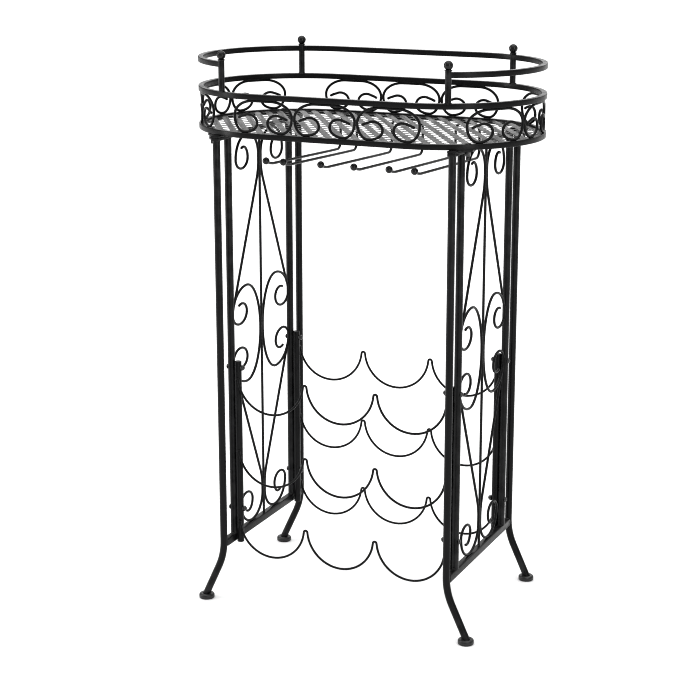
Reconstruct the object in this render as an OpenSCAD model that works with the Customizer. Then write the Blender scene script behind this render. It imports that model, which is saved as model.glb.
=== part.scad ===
// Wrought-iron style wine rack for nine bottles: two scrollwork side frames, bolted-in
// bottle cradles, an oval mesh tray with a gallery and rail, and stemware hangers below it.
// Millimetres, +X to the right, +Y to the back, +Z up, origin on the floor under the middle.

/* [Side frames] */
// Distance between the two side frames, tube centre to tube centre
frame_gap = 368; // [360:1:380]
// Depth of a side frame between its front and back legs, centre to centre
frame_depth = 274; // [268:1:280]
// Distance between the two inner posts of a side frame
post_gap = 204; // [200:1:208]
// Diameter of the leg and post tubes
tube_d = 11; // [9:0.5:11]
// Height of the top of the side frames
frame_top = 724; // [700:1:740]
// Height of the middle of the bottom bars
bottom_bar_z = 95; // [90:1:105]

/* [Feet] */
// How far each foot stands out beyond its leg
foot_spread = 32; // [24:1:40]
// Diameter of the foot pads
foot_d = 24; // [20:1:28]
// Height of the foot pads
foot_h = 8; // [6:0.5:10]
// Angle of the splayed lower leg from the vertical
splay = 25; // [20:1:30]

/* [Bottle cradles] */
// Width of one bottle bay, cusp to cusp
bay = 115; // [110:1:116]
// Height from one row of bottles to the next
row_pitch = 115; // [112:1:120]
// Height of the cusps of the top row
cusp_top = 357; // [350:1:365]
// Depth of a cradle from its cusps to its lowest point
cradle_depth = 52.6; // [50:0.1:55]
// Diameter of the cradle wire
cradle_wire_d = 3.5; // [3:0.1:4]

/* [Scrollwork] */
// Diameter of the scroll wire
scroll_wire_d = 4; // [3:0.1:4]
// Width of one gallery scroll
scroll_w = 97.6; // [94:0.1:98]

/* [Tray] */
// Half the straight front and back of the tray, centre line of the bars
tray_straight = 115; // [110:1:120]
// Radius of the round ends of the tray, centre line of the bars
tray_r = 147; // [144:1:150]
// Side of the square bars of the three tray rings
ring_bar = 8; // [7:0.5:9]
// Height of the underside of the gallery ring
gallery_z = 783; // [780:1:786]
// Height of the underside of the top rail
rail_z = 826; // [820:1:830]
// Height of the middle of the ball finials
finial_z = 843; // [840:1:848]
// Diameter of the ball finials
finial_d = 13; // [12:0.5:14]

/* [Stemware hangers] */
// Widths of the three stem slots, wire centre to wire centre, left to right
slot_widths = [28, 52, 39]; // [24:1:56]
// Distance between neighbouring slots, middle to middle
slot_pitch = 100; // [98:1:102]
// Diameter of the hanger wire
hanger_wire_d = 4; // [3:0.1:4.4]
// Diameter of the balls on the wire ends
hanger_ball_d = 10.5; // [9:0.1:11.5]

/* [Fasteners] */
// Diameter of the bolts that hold the cradle frames
cradle_bolt_d = 4; // [3.5:0.5:4]
// Diameter of the screws that hold the tray
tray_screw_d = 5; // [4:0.5:5]

/* [Hidden] */
IRON = [0.12, 0.12, 0.125];
LEFT = -1;
RIGHT = 1;
FRONT = -1;
BACK = 1;
$fn = 48;

// Side frames
frame_x = frame_gap / 2;
leg_y = frame_depth / 2;
post_y = post_gap / 2;
tube_r = tube_d / 2;
weld = 0.5;                     // how far one welded piece sinks into the next
bottom_bar_h = 12;
bottom_bar_w = 10;
bottom_bar_top = bottom_bar_z + bottom_bar_h / 2;
top_bar_h = 5;
top_bar_w = 12;
top_bar_under = frame_top - top_bar_h;
scroll_r = scroll_wire_d / 2;
frame_mid_z = (bottom_bar_top + top_bar_under) / 2;
frame_half_h = (top_bar_under - bottom_bar_top) / 2;

// Lower leg: a bend of leg_bend_r through splay, then a straight run down to the foot
leg_bend_r = 100;
bend_out = leg_bend_r * (1 - cos(splay));
bend_drop = leg_bend_r * sin(splay);
shin_drop = (foot_spread - bend_out) / tan(splay);
shin_sink = 3;                  // how far the tube goes down into the foot pad
bend_top_z = foot_h + shin_drop + bend_drop;

// Cradle frames stand against the inner sides of the posts
cradle_x = frame_x - tube_d;
cradle_post_bottom = 88;
cradle_post_top = 379;
cradle_y = post_y + tube_r + cradle_wire_d / 2 - 0.3;
bolt_heights = [143, 369];
bolt_clearance = 0.2;
head_d = 8;
head_h = 3;
nut_d = 9;
nut_h = 6;

// Cradle wire: arcs of cradle_r joined over the cusps by hairpins of hairpin_r
hairpin_r = 3;
cusp_rise = cradle_depth - hairpin_r;
cradle_r = (pow(bay / 2, 2) + pow(cusp_rise, 2) - pow(hairpin_r, 2))
    / (2 * (cusp_rise + hairpin_r));
arc_half = 180 - acos((cusp_rise - cradle_r) / (cradle_r + hairpin_r));
arc_steps = 12;
hairpin_steps = 4;

// Tray
tray_z = frame_top + 3;         // underside of the rim, on top of the 3 mm brackets
bracket_h = tray_z - frame_top;
rim_top = tray_z + ring_bar;
mesh_z = rim_top - 3;
mesh_h = 1.5;
ring_half = ring_bar / 2;
end_len = PI * tray_r;
scroll_h = gallery_z - rim_top;
post_arc = 177;                 // rail posts, measured along the ring from front or back centre
post_d = 9;
front_shift = -6;               // the front and back scroll triples sit a little to one side
end_shift = 2.5;                // and those of the ends a little further round
end_centre = tray_straight + end_len / 2 + end_shift;
post_top = rail_z + ring_bar + 2;
collar_d = post_d + 2;
collar_h = 1.5;
screw_x = 200;
screw_y = tray_r * sqrt(1 - pow((screw_x - tray_straight) / tray_r, 2));

// Stemware hangers: wires run front to back, a little lower at the back
hanger_front = -116;
hanger_back = tray_r;           // welded along the underside of the rim
hanger_front_z = 684;
hanger_fall = 10;
hanger_bend = 12;
hanger_ball_z = hanger_front_z + 7;

// ---------- helpers ----------

function unit(v) = v / norm(v);

// Points on a quarter or any stretch of an ellipse, from angle a0 to a1
function arc(cx, cz, rx, rz, a0, a1, steps) =
    [for (i = [0:steps]) let (a = a0 + (a1 - a0) * i / steps) [cx + rx * cos(a), cz + rz * sin(a)]];

function reversed(list) = [for (i = [len(list) - 1:-1:0]) list[i]];

// Drops points that repeat the one before
function thinned(list) =
    [for (i = [0:len(list) - 1]) if (i == 0 || norm(list[i] - list[max(i - 1, 0)]) > 0.05) list[i]];

// A round wire of diameter d along a path of 3-D points
module wire(path, d, sides = 6) {
    n = len(path);
    dir = [for (i = [0:n - 1]) unit(path[min(i + 1, n - 1)] - path[max(i - 1, 0)])];
    start = unit(cross(dir[0], abs(dir[0][2]) < 0.9 ? [0, 0, 1] : [1, 0, 0]));
    side = [for (i = 0, u = start; i < n;
        u = let (t = dir[min(i + 1, n - 1)]) unit(u - (u * t) * t), i = i + 1) u];
    points = [for (i = [0:n - 1], k = [0:sides - 1])
        path[i] + d / 2 * (cos(k * 360 / sides) * side[i] + sin(k * 360 / sides) * cross(dir[i], side[i]))];
    faces = concat(
        [[for (k = [0:sides - 1]) k]],
        [for (i = [0:n - 2], k = [0:sides - 1]) let (m = (k + 1) % sides)
            [i * sides + k, (i + 1) * sides + k, (i + 1) * sides + m, i * sides + m]],
        [[for (k = [sides - 1:-1:0]) (n - 1) * sides + k]]);
    polyhedron(points, faces, convexity = 6);
}

// Point on the centre line of the tray rings: arc length s from the front centre, to the right
// (the back half is the front half turned round)
function on_ring(s) =
    let (half = 2 * tray_straight + end_len, turns = floor((s + tray_straight) / half),
        t = s + tray_straight - turns * half, a = (t - 2 * tray_straight) / tray_r * 180 / PI,
        p = t < 2 * tray_straight ? [t - tray_straight, -tray_r]
            : [tray_straight + tray_r * sin(a), -tray_r * cos(a)])
    (turns % 2 == 0 ? 1 : -1) * p;

module stadium(r) {
    square([2 * tray_straight, 2 * r], center = true);
    for (x = [-1, 1]) translate([x * tray_straight, 0]) circle(r, $fn = 96);
}

module ring_2d() {
    difference() {
        stadium(tray_r + ring_half);
        stadium(tray_r - ring_half);
    }
}

// ---------- side frames ----------

// Straight down from the top bar, out through the bend, and down into the foot pad
module leg(side, end) {
    drop = bend_top_z - bend_drop - foot_h + shin_sink;
    out = bend_out + drop * tan(splay);
    path = concat(
        [[0, top_bar_under + weld]],
        [for (a = [0:splay / 6:splay]) [leg_bend_r * (1 - cos(a)), bend_top_z - leg_bend_r * sin(a)]],
        [[out, foot_h - shin_sink]]);
    color(IRON) wire([for (p = path) [side * (frame_x + p[0]), end * leg_y, p[1]]], tube_d, 20);
}

module foot(side, end) {
    color(IRON) translate([side * (frame_x + foot_spread), end * leg_y, 0])
        rotate_extrude() polygon(concat(
            [[0, 0], [foot_d / 2 - 1, 0], [foot_d / 2, 1], [foot_d / 2, foot_h - 3]],
            [for (a = [15:15:75]) [foot_d / 2 - 3 + 3 * cos(a), foot_h - 3 + 3 * sin(a)]],
            [[foot_d / 2 - 3, foot_h], [0, foot_h]]));
}

// Two cross holes for the cradle bolts
module bolt_holes(side, end) {
    for (z = bolt_heights) translate([side * (frame_x - tube_r), end * post_y, z])
        rotate([0, 90, 0]) cylinder(h = 3 * tube_d, d = cradle_bolt_d + bolt_clearance, center = true);
}

module post(side, end) {
    color(IRON) difference() {
        translate([side * frame_x, end * post_y, bottom_bar_top - weld])
            cylinder(h = top_bar_under - bottom_bar_top + 2 * weld, d = tube_d);
        bolt_holes(side, end);
    }
}

module bottom_bar(side) {
    color(IRON) translate([side * frame_x, 0, bottom_bar_z])
        cube([bottom_bar_w, 2 * (leg_y - tube_r + weld), bottom_bar_h], center = true);
}

module top_bar(side) {
    color(IRON) translate([side * frame_x, 0, frame_top - top_bar_h / 2])
        cube([top_bar_w, frame_depth + tube_d, top_bar_h], center = true);
}

module centre_rod(side) {
    color(IRON) translate([side * frame_x, 0, bottom_bar_top - weld])
        cylinder(h = top_bar_under - bottom_bar_top + 2 * weld, d = scroll_wire_d);
}

// Long scroll in the frame's own plane: [y outwards from the centre rod, height above mid frame].
// It rises beside the rod, turns over in a crook under the bar and curls in below it.
crook_w = 74;
rod_side = scroll_wire_d;
crook_y = rod_side + crook_w / 2;
crook_z = frame_half_h - scroll_r - 35;
curl_y = rod_side + crook_w - 19.5;
shoulder_y = 91;
shoulder_z = 51;
long_scroll = thinned(concat(
    [[shoulder_y, shoulder_z], [rod_side + 1.2, 246], [rod_side, 254]],
    arc(crook_y, crook_z, crook_w / 2, 35 + weld, 180, 0, 14),
    arc(curl_y, crook_z, 19.5, 15, 0, -180, 10),
    arc(curl_y - 5.5, crook_z, 14, 17, 180, 60, 5)));

module long_scroll_wire(side, end, up) {
    color(IRON) wire([for (p = long_scroll)
        [side * frame_x, end * p[0], frame_mid_z + up * p[1]]], scroll_wire_d);
}

// C-scroll: half of it, from beside the centre rod over the top and into its curl
c_half_w = (post_y - tube_r - rod_side - scroll_r + weld) / 2;
c_mid = rod_side + c_half_w;
c_half_h = 76;
c_curl_z = 36;
c_half = thinned(concat(
    arc(c_mid, 0, c_half_w, c_half_h, 180, 90, 9),
    arc(c_mid, c_curl_z, c_half_w, c_half_h - c_curl_z, 90, 0, 7),
    arc(c_mid + c_half_w - 23, c_curl_z, 23, 17, 0, -180, 9),
    arc(c_mid + c_half_w - 29, c_curl_z, 17, 14, 180, 55, 5)));

module c_scroll(side, end) {
    lower = [for (p = reversed(c_half)) [p[0], -p[1]]];
    color(IRON) wire([for (p = thinned(concat(lower, c_half)))
        [side * frame_x, end * p[0], frame_mid_z + p[1]]], scroll_wire_d);
}

// ---------- bottle cradles ----------

module cradle_post(side, end) {
    color(IRON) difference() {
        translate([side * cradle_x, end * post_y, cradle_post_bottom])
            cylinder(h = cradle_post_top - cradle_post_bottom, d = tube_d);
        bolt_holes(side, end);
    }
}

// One bay: the arc, then the hairpin over the cusp to its right
function bay_points(x, last) = concat(
    arc(x, cradle_r - cradle_depth, cradle_r, cradle_r, -90 - arc_half, -90 + arc_half, arc_steps),
    last ? [] : arc(x + bay / 2, -hairpin_r, hairpin_r, hairpin_r,
        90 + arc_half, 90 - arc_half, hairpin_steps));
cradle_path = thinned(concat(
    [[-1.5 * bay - 1, -hairpin_r + 1]],
    bay_points(-bay, false), bay_points(0, false), bay_points(bay, true),
    [[1.5 * bay + 1, -hairpin_r + 1]]));

// Row 0 is the top one
module cradle_wire(end, row) {
    color(IRON) wire([for (p = cradle_path)
        [p[0], end * cradle_y, cusp_top - row * row_pitch - cradle_wire_d / 2 + p[1]]], cradle_wire_d);
}

module at_bolts() {
    for (side = [LEFT, RIGHT], end = [FRONT, BACK], z = bolt_heights)
        translate([side * frame_x, end * post_y, z]) rotate([0, side * 90, 0]) children();
}

module cradle_bolts() {
    color(IRON) at_bolts() {
        translate([0, 0, -1.5 * tube_d - 4]) cylinder(h = 2 * tube_d + 4.2, d = cradle_bolt_d);
        translate([0, 0, tube_r]) cylinder(h = head_h, d1 = head_d, d2 = head_d - 3);
    }
}

// Domed nuts on the bottle side of the cradle posts
module cradle_nuts() {
    color(IRON) at_bolts() translate([0, 0, -1.5 * tube_d - nut_h]) difference() {
        union() {
            translate([0, 0, 2]) cylinder(h = nut_h - 2, d = nut_d);
            intersection() {
                translate([0, 0, nut_d / 2]) sphere(d = nut_d);
                cylinder(h = 2.5, d = nut_d);
            }
        }
        translate([0, 0, 1.9]) cylinder(h = nut_h, d = cradle_bolt_d);
    }
}

// ---------- tray ----------

module tray_rim() {
    color(IRON) difference() {
        translate([0, 0, tray_z]) linear_extrude(ring_bar) ring_2d();
        for (x = [-1, 1], y = [-1, 1]) translate([x * screw_x, y * screw_y, tray_z - 1])
            cylinder(h = ring_bar + 2, d = tray_screw_d + bolt_clearance);
    }
}

// Tray floor: a steel sheet with slots in slanted rows, like expanded metal. The slots repeat
// along rib_way and strand_way, and a slot is left out where the rim would cut it.
rib_way = [10.8, -16.8];
strand_way = [10.8, 16.8];
slot_long = 0.46;               // half a slot along rib_way, as a share of that step
slot_wide = 0.24;               // half a slot along strand_way, as a share of that step
first_slot = [5.5, 2.5];
slot_outline = [for (c = [[1, 1], [1, -1], [-1, -1], [-1, 1]])
    c[0] * slot_long * rib_way + c[1] * slot_wide * strand_way];
mesh_inner = tray_r - ring_half;
mesh_gap = 0.6;                 // between the flat of the floor and the rim, clear of screw heads
mesh_border = 1.5;              // least width left whole round the edge
lap_h = mesh_h / 2;             // thinned edge that is welded into the rim

function is_inside(p, r) = norm([max(abs(p[0]) - tray_straight, 0), p[1]]) < r;

module slots() {
    reach = ceil(((tray_straight + mesh_inner) / rib_way[0] + mesh_inner / strand_way[1]) / 2);
    for (m = [-reach:reach], n = [-reach:reach]) {
        at = first_slot + m * rib_way + n * strand_way;
        corners = [for (c = slot_outline) if (is_inside(at + c, mesh_inner - mesh_border)) c];
        if (len(corners) == len(slot_outline)) translate(at) polygon(slot_outline);
    }
}

module tray_mesh() {
    color(IRON) translate([0, 0, mesh_z]) {
        linear_extrude(mesh_h) difference() {
            stadium(mesh_inner - mesh_gap);
            slots();
        }
        linear_extrude(lap_h) difference() {
            stadium(mesh_inner + weld);
            stadium(mesh_inner - mesh_border + mesh_gap);
        }
    }
}

module gallery_ring() {
    color(IRON) translate([0, 0, gallery_z]) linear_extrude(ring_bar) ring_2d();
}

// Gallery scroll, half of it: [along the ring from its middle, height above the rim]
scroll_half = scroll_w / 2 - scroll_r;
half_scroll = thinned(concat(
    [[-scroll_half + 6.5, 21], [-scroll_half + 13, 24]],
    arc(-scroll_half + 24.5, 15, 14, 12, 120, 0, 6),
    arc(-scroll_half + 17, 15, 21.5, 15 - scroll_r + weld, 0, -90, 5),
    arc(-scroll_half + 17, 24, 17, 24 - scroll_r + weld, 270, 180, 5),
    arc(-scroll_half + 33, 24, 33, scroll_h - 24 - scroll_r + weld, 180, 90, 7),
    [[0, scroll_h - scroll_r + weld]]));
whole_scroll = concat(half_scroll, [for (i = [len(half_scroll) - 2:-1:0])
    [-half_scroll[i][0], half_scroll[i][1]]]);

module gallery_scroll_triple(centre) {
    color(IRON) for (k = [-1:1]) wire([for (p = whole_scroll)
        let (q = on_ring(centre + k * scroll_w + p[0])) [q[0], q[1], rim_top + p[1]]], scroll_wire_d);
}

// The rail runs from one front post round the back to the other, and is open at the front
module top_rail() {
    open = on_ring(post_arc);
    color(IRON) translate([0, 0, rail_z]) linear_extrude(ring_bar) difference() {
        ring_2d();
        polygon([[0, 0], 1.3 * open, [open[0], -1.4 * tray_r], [-open[0], -1.4 * tray_r],
            [-1.3 * open[0], 1.3 * open[1]]]);
    }
}

module at_posts() {
    p = on_ring(post_arc);
    for (x = [-1, 1], y = [-1, 1]) translate([x * p[0], y * p[1], 0]) children();
}

module rail_posts() {
    color(IRON) at_posts() {
        translate([0, 0, gallery_z + ring_bar - weld])
            cylinder(h = post_top - gallery_z - ring_bar + weld, d = post_d);
    }
}

module finials() {
    color(IRON) at_posts() {
        translate([0, 0, finial_z]) sphere(d = finial_d);
        translate([0, 0, post_top - weld]) cylinder(h = collar_h, d = collar_d);
    }
}

// Flat corner plates: each lies on the end of a top bar and reaches out under the rim, whose
// outer edge it follows
bracket_half = top_bar_w / 2;
bracket_front = screw_y - 8;
bracket_out = screw_x + 7;
module bracket_2d() {
    intersection() {
        stadium(tray_r + ring_half);
        translate([frame_x - bracket_half, bracket_front])
            square([bracket_out - frame_x + bracket_half, leg_y - bracket_front]);
    }
    translate([frame_x - bracket_half, bracket_front])
        square([top_bar_w, leg_y + bracket_half - bracket_front]);
}

module tray_brackets() {
    color(IRON) for (x = [-1, 1], y = [-1, 1]) mirror([x < 0 ? 1 : 0, 0, 0]) mirror([0, y < 0 ? 1 : 0, 0])
        translate([0, 0, frame_top]) linear_extrude(bracket_h) difference() {
            bracket_2d();
            translate([screw_x, screw_y]) circle(d = tray_screw_d + bolt_clearance);
        }
}

screw_tail = 12;
screw_head_d = 9;
screw_head_h = 2;
tray_nut_d = 9;
tray_nut_h = 6;
module tray_screws() {
    color(IRON) for (x = [-1, 1], y = [-1, 1]) translate([x * screw_x, y * screw_y, 0]) {
        translate([0, 0, frame_top - screw_tail])
            cylinder(h = rim_top - frame_top + screw_tail + weld, d = tray_screw_d);
        translate([0, 0, rim_top]) cylinder(h = screw_head_h, d1 = screw_head_d, d2 = screw_head_d - 3);
    }
}

module tray_nuts() {
    color(IRON) for (x = [-1, 1], y = [-1, 1])
        translate([x * screw_x, y * screw_y, frame_top - tray_nut_h]) difference() {
            cylinder(h = tray_nut_h, d = tray_nut_d, $fn = 6);
            translate([0, 0, -1]) cylinder(h = tray_nut_h + 2, d = tray_screw_d);
        }
}

// ---------- stemware hangers ----------

// One wire: front ball, small dip, back under the tray, up to the rim, across, and forward again
module hanger(k) {
    x0 = (k - 1) * slot_pitch;
    w = slot_widths[k] / 2;
    back_z = hanger_front_z - hanger_fall;
    top = tray_z - hanger_wire_d / 2 + weld;
    // half of the wire as [x from the slot's middle, y, z]
    arm = concat(
        [[w, hanger_front, hanger_ball_z], [w, hanger_front + 8, hanger_front_z + 2.5],
            [w, hanger_front + 16, hanger_front_z + 0.4], [w, hanger_front + 26, hanger_front_z]],
        [for (a = [0:30:90]) [w, hanger_back - hanger_bend + hanger_bend * sin(a),
            back_z + hanger_bend - hanger_bend * cos(a)]],
        [for (a = [0:30:90]) [w - hanger_bend * (1 - cos(a)), hanger_back,
            top - hanger_bend + hanger_bend * sin(a)]]);
    color(IRON) wire([for (p = concat(arm, [for (q = reversed(arm)) [-q[0], q[1], q[2]]]))
        [x0 + p[0], p[1], p[2]]], hanger_wire_d);
}

module hanger_balls() {
    color(IRON) for (k = [0:2], s = [-1, 1])
        translate([(k - 1) * slot_pitch + s * slot_widths[k] / 2, hanger_front, hanger_ball_z])
            sphere(d = hanger_ball_d);
}

// ---------- the parts, one name at a time ----------

leg(LEFT, FRONT);  // leg_front_left
leg(RIGHT, FRONT);  // leg_front_right
leg(LEFT, BACK);  // leg_back_left
leg(RIGHT, BACK);  // leg_back_right
foot(LEFT, FRONT);  // foot_front_left
foot(RIGHT, FRONT);  // foot_front_right
foot(LEFT, BACK);  // foot_back_left
foot(RIGHT, BACK);  // foot_back_right
post(LEFT, FRONT);  // post_front_left
post(RIGHT, FRONT);  // post_front_right
post(LEFT, BACK);  // post_back_left
post(RIGHT, BACK);  // post_back_right
bottom_bar(LEFT);  // bottom_bar_left
bottom_bar(RIGHT);  // bottom_bar_right
top_bar(LEFT);  // top_bar_left
top_bar(RIGHT);  // top_bar_right
centre_rod(LEFT);  // centre_rod_left
centre_rod(RIGHT);  // centre_rod_right
long_scroll_wire(LEFT, FRONT, 1);  // upper_scroll_front_left
long_scroll_wire(RIGHT, FRONT, 1);  // upper_scroll_front_right
long_scroll_wire(LEFT, BACK, 1);  // upper_scroll_back_left
long_scroll_wire(RIGHT, BACK, 1);  // upper_scroll_back_right
long_scroll_wire(LEFT, FRONT, -1);  // lower_scroll_front_left
long_scroll_wire(RIGHT, FRONT, -1);  // lower_scroll_front_right
long_scroll_wire(LEFT, BACK, -1);  // lower_scroll_back_left
long_scroll_wire(RIGHT, BACK, -1);  // lower_scroll_back_right
c_scroll(LEFT, FRONT);  // c_scroll_front_left
c_scroll(RIGHT, FRONT);  // c_scroll_front_right
c_scroll(LEFT, BACK);  // c_scroll_back_left
c_scroll(RIGHT, BACK);  // c_scroll_back_right
cradle_post(LEFT, FRONT);  // cradle_post_front_left
cradle_post(RIGHT, FRONT);  // cradle_post_front_right
cradle_post(LEFT, BACK);  // cradle_post_back_left
cradle_post(RIGHT, BACK);  // cradle_post_back_right
cradle_wire(FRONT, 0);  // cradle_wire_front_top
cradle_wire(FRONT, 1);  // cradle_wire_front_middle
cradle_wire(FRONT, 2);  // cradle_wire_front_bottom
cradle_wire(BACK, 0);  // cradle_wire_back_top
cradle_wire(BACK, 1);  // cradle_wire_back_middle
cradle_wire(BACK, 2);  // cradle_wire_back_bottom
cradle_bolts();
cradle_nuts();
tray_rim();
tray_mesh();
gallery_ring();
gallery_scroll_triple(front_shift);  // gallery_scrolls_front
gallery_scroll_triple(end_centre);  // gallery_scrolls_right
gallery_scroll_triple(2 * tray_straight + end_len + front_shift);  // gallery_scrolls_back
gallery_scroll_triple(2 * tray_straight + end_len + end_centre);  // gallery_scrolls_left
top_rail();
rail_posts();
finials();
tray_brackets();
tray_screws();
tray_nuts();
hanger(0);  // hanger_left
hanger(1);  // hanger_middle
hanger(2);  // hanger_right
hanger_balls();
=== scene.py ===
import math

import bmesh
import bpy
from mathutils import Matrix, Vector, noise


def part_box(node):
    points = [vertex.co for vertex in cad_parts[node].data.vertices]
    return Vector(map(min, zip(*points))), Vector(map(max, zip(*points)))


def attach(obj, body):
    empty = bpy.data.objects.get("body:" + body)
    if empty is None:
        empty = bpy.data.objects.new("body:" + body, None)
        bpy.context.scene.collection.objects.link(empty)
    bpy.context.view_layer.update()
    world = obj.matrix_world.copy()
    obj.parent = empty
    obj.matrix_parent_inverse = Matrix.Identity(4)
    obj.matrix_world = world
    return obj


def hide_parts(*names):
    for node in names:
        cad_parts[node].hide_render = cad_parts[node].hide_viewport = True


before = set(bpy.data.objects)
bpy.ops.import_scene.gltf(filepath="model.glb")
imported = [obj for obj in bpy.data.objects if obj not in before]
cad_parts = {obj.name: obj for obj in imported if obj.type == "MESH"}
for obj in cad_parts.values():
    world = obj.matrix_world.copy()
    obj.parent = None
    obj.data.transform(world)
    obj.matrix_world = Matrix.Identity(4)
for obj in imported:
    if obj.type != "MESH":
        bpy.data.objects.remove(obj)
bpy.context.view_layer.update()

# Iron wine rack: every piece is shaped again around its CAD node, as it leaves the bending jig,
# the welding bench and the powder-coat oven. Metres; +X right, +Y back, +Z up.

mm = 0.001
SIDES = {"left": -1, "right": 1}
ENDS = {"front": -1, "back": 1}


# ---------- sizes read from the frame ----------

def middle(node):
    low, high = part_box(node)
    return (low + high) / 2


def spans(node):
    low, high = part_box(node)
    return high - low


frame_x = middle("post_front_right").x
post_y = middle("post_back_right").y
tube_r = spans("post_back_right").y / 2
leg_y = middle("foot_back_right").y
foot_x = middle("foot_back_right").x
foot_r = spans("foot_back_right").x / 2
foot_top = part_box("foot_back_right")[1].z
bar_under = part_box("top_bar_right")[0].z
low_bar_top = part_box("bottom_bar_right")[1].z
frame_mid = (bar_under + low_bar_top) / 2
frame_half = (bar_under - low_bar_top) / 2
scroll_r = spans("centre_rod_right").y / 2
cradle_x = middle("cradle_post_front_right").x
cradle_y = middle("cradle_wire_back_top").y
cradle_wire_r = spans("cradle_wire_back_top").y / 2
rim_low, rim_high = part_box("tray_rim")
ring_bar = rim_high.z - rim_low.z
tray_r = rim_high.y - ring_bar / 2
tray_straight = rim_high.x - rim_high.y
gallery_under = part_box("gallery_ring")[0].z
rail_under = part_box("top_rail")[0].z
scroll_h = gallery_under - rim_high.z
mesh_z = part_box("tray_mesh")[0].z
hanger_wire_r = 2 * mm
ball_r = spans("hanger_balls").z / 2
end_len = math.pi * tray_r
weld_sink = 0.5 * mm
post_arc = 177 * mm
rail_post_r = 4.5 * mm


# ---------- paths ----------

def arc(centre, across, up, start, stop, step=6):
    """Points of an ellipse from one angle to another, in degrees, as (a, b) pairs."""
    count = max(2, round(abs(stop - start) / step))
    angles = [math.radians(start + (stop - start) * i / count) for i in range(count + 1)]
    return [(centre[0] + across * math.cos(a), centre[1] + up * math.sin(a)) for a in angles]


def bow(first, pull, last, count=8):
    """A soft bend from first to last that leaves and arrives along the lines to pull."""
    points = []
    for i in range(count + 1):
        t = i / count
        points.append(tuple(
            (1 - t) ** 2 * a + 2 * t * (1 - t) * b + t * t * c
            for a, b, c in zip(first, pull, last)))
    return points


def thinned(points):
    kept = [points[0]]
    for p in points[1:]:
        if math.dist(p, kept[-1]) > 0.05 * mm:
            kept.append(p)
    return kept


def on_ring(s, radius=None):
    """Point on the tray's outline, s along it from the front centre towards the right."""
    radius = radius or tray_r
    half = 2 * tray_straight + end_len
    turns = math.floor((s + tray_straight) / half)
    t = s + tray_straight - turns * half
    flip = 1 if turns % 2 == 0 else -1
    if t < 2 * tray_straight:
        x, y = t - tray_straight, -radius
    else:
        a = (t - 2 * tray_straight) / tray_r
        x, y = tray_straight + radius * math.sin(a), -radius * math.cos(a)
    return flip * x, flip * y


def ring_path(start, stop, z, step=5 * mm):
    count = round((stop - start) / step)
    return [(*on_ring(start + (stop - start) * i / count), z) for i in range(count + 1)]


# ---------- making meshes ----------

def new_object(name, mesh):
    piece = bpy.data.objects.new(name, mesh)
    bpy.context.scene.collection.objects.link(piece)
    return piece


def settle(name, bm, sharp=38):
    """Turns a bmesh into an object: doubles merged, faces outwards, smooth but for real corners."""
    bmesh.ops.remove_doubles(bm, verts=bm.verts, dist=0.002 * mm)
    bmesh.ops.recalc_face_normals(bm, faces=bm.faces)
    mesh = bpy.data.meshes.new(name)
    bm.to_mesh(mesh)
    bm.free()
    mesh.shade_smooth()
    mesh.set_sharp_from_angle(angle=math.radians(sharp))
    return new_object(name, mesh)


def add_mesh(bm, mesh, place=None):
    """Adds a finished mesh to a bmesh, turned and moved by a matrix."""
    copy = mesh.copy()
    if place is not None:
        copy.transform(place)
        if place.is_negative:
            copy.flip_normals()
    bm.from_mesh(copy)
    bpy.data.meshes.remove(copy)


def domed_tips(points, radius):
    """The same path with its two ends drawn in, so that the swept wire ends in half balls."""
    profile = [(0.0, 0.04), (0.1, 0.44), (0.3, 0.71), (0.6, 0.92), (1.0, 1.0)]

    def tip(end, inner):
        away = (Vector(inner) - Vector(end)).normalized()
        return [(Vector(end) + away * radius * along, scale) for along, scale in profile]

    body = [(Vector(p), 1.0) for p in points[1:-1]
            if math.dist(p, points[0]) > 1.2 * radius and math.dist(p, points[-1]) > 1.2 * radius]
    return tip(points[0], points[1]) + body + tip(points[-1], points[-2])[::-1]


def square_profile(side, edge):
    """Outline of square bar with rounded edges, as a flat curve for sweeping."""
    outline = []
    reach = side / 2 - edge
    for quarter, (sx, sy) in enumerate([(1, 1), (-1, 1), (-1, -1), (1, -1)]):
        outline += arc((sx * reach, sy * reach), edge, edge, 90 * quarter, 90 * quarter + 90, 22.5)
    curve = bpy.data.curves.new("bar_profile", "CURVE")
    spline = curve.splines.new("POLY")
    spline.points.add(len(outline) - 1)
    for point, (x, y) in zip(spline.points, outline):
        point.co = (x, y, 0, 1)
    spline.use_cyclic_u = True
    return new_object("bar_profile", curve)


def swept_mesh(paths, radius=None, sides=16, profile=None, closed=False, tips=True):
    """Round wire, or bar of the given profile, swept along one or more paths."""
    curve = bpy.data.curves.new("sweep", "CURVE")
    curve.dimensions = "3D"
    curve.use_fill_caps = True
    if profile:
        curve.bevel_mode = "OBJECT"
        curve.bevel_object = profile
        curve.twist_mode = "Z_UP"
    else:
        curve.bevel_depth = radius
        curve.bevel_resolution = (sides - 4) // 2
        curve.twist_mode = "MINIMUM"
    for path in paths:
        scaled = domed_tips(path, radius) if tips and radius else [(p, 1.0) for p in path]
        spline = curve.splines.new("POLY")
        spline.points.add(len(scaled) - 1)
        for point, (place, scale) in zip(spline.points, scaled):
            point.co = (*place, 1)
            point.radius = scale
        spline.use_cyclic_u = closed
    holder = new_object("sweep", curve)
    bpy.context.view_layer.update()
    shaped = holder.evaluated_get(bpy.context.evaluated_depsgraph_get())
    mesh = bpy.data.meshes.new_from_object(shaped)
    bpy.data.objects.remove(holder)
    bpy.data.curves.remove(curve)
    return mesh


def swept(name, paths, **how):
    bm = bmesh.new()
    mesh = swept_mesh(paths, **how)
    bm.from_mesh(mesh)
    bpy.data.meshes.remove(mesh)
    return settle(name, bm)


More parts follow.
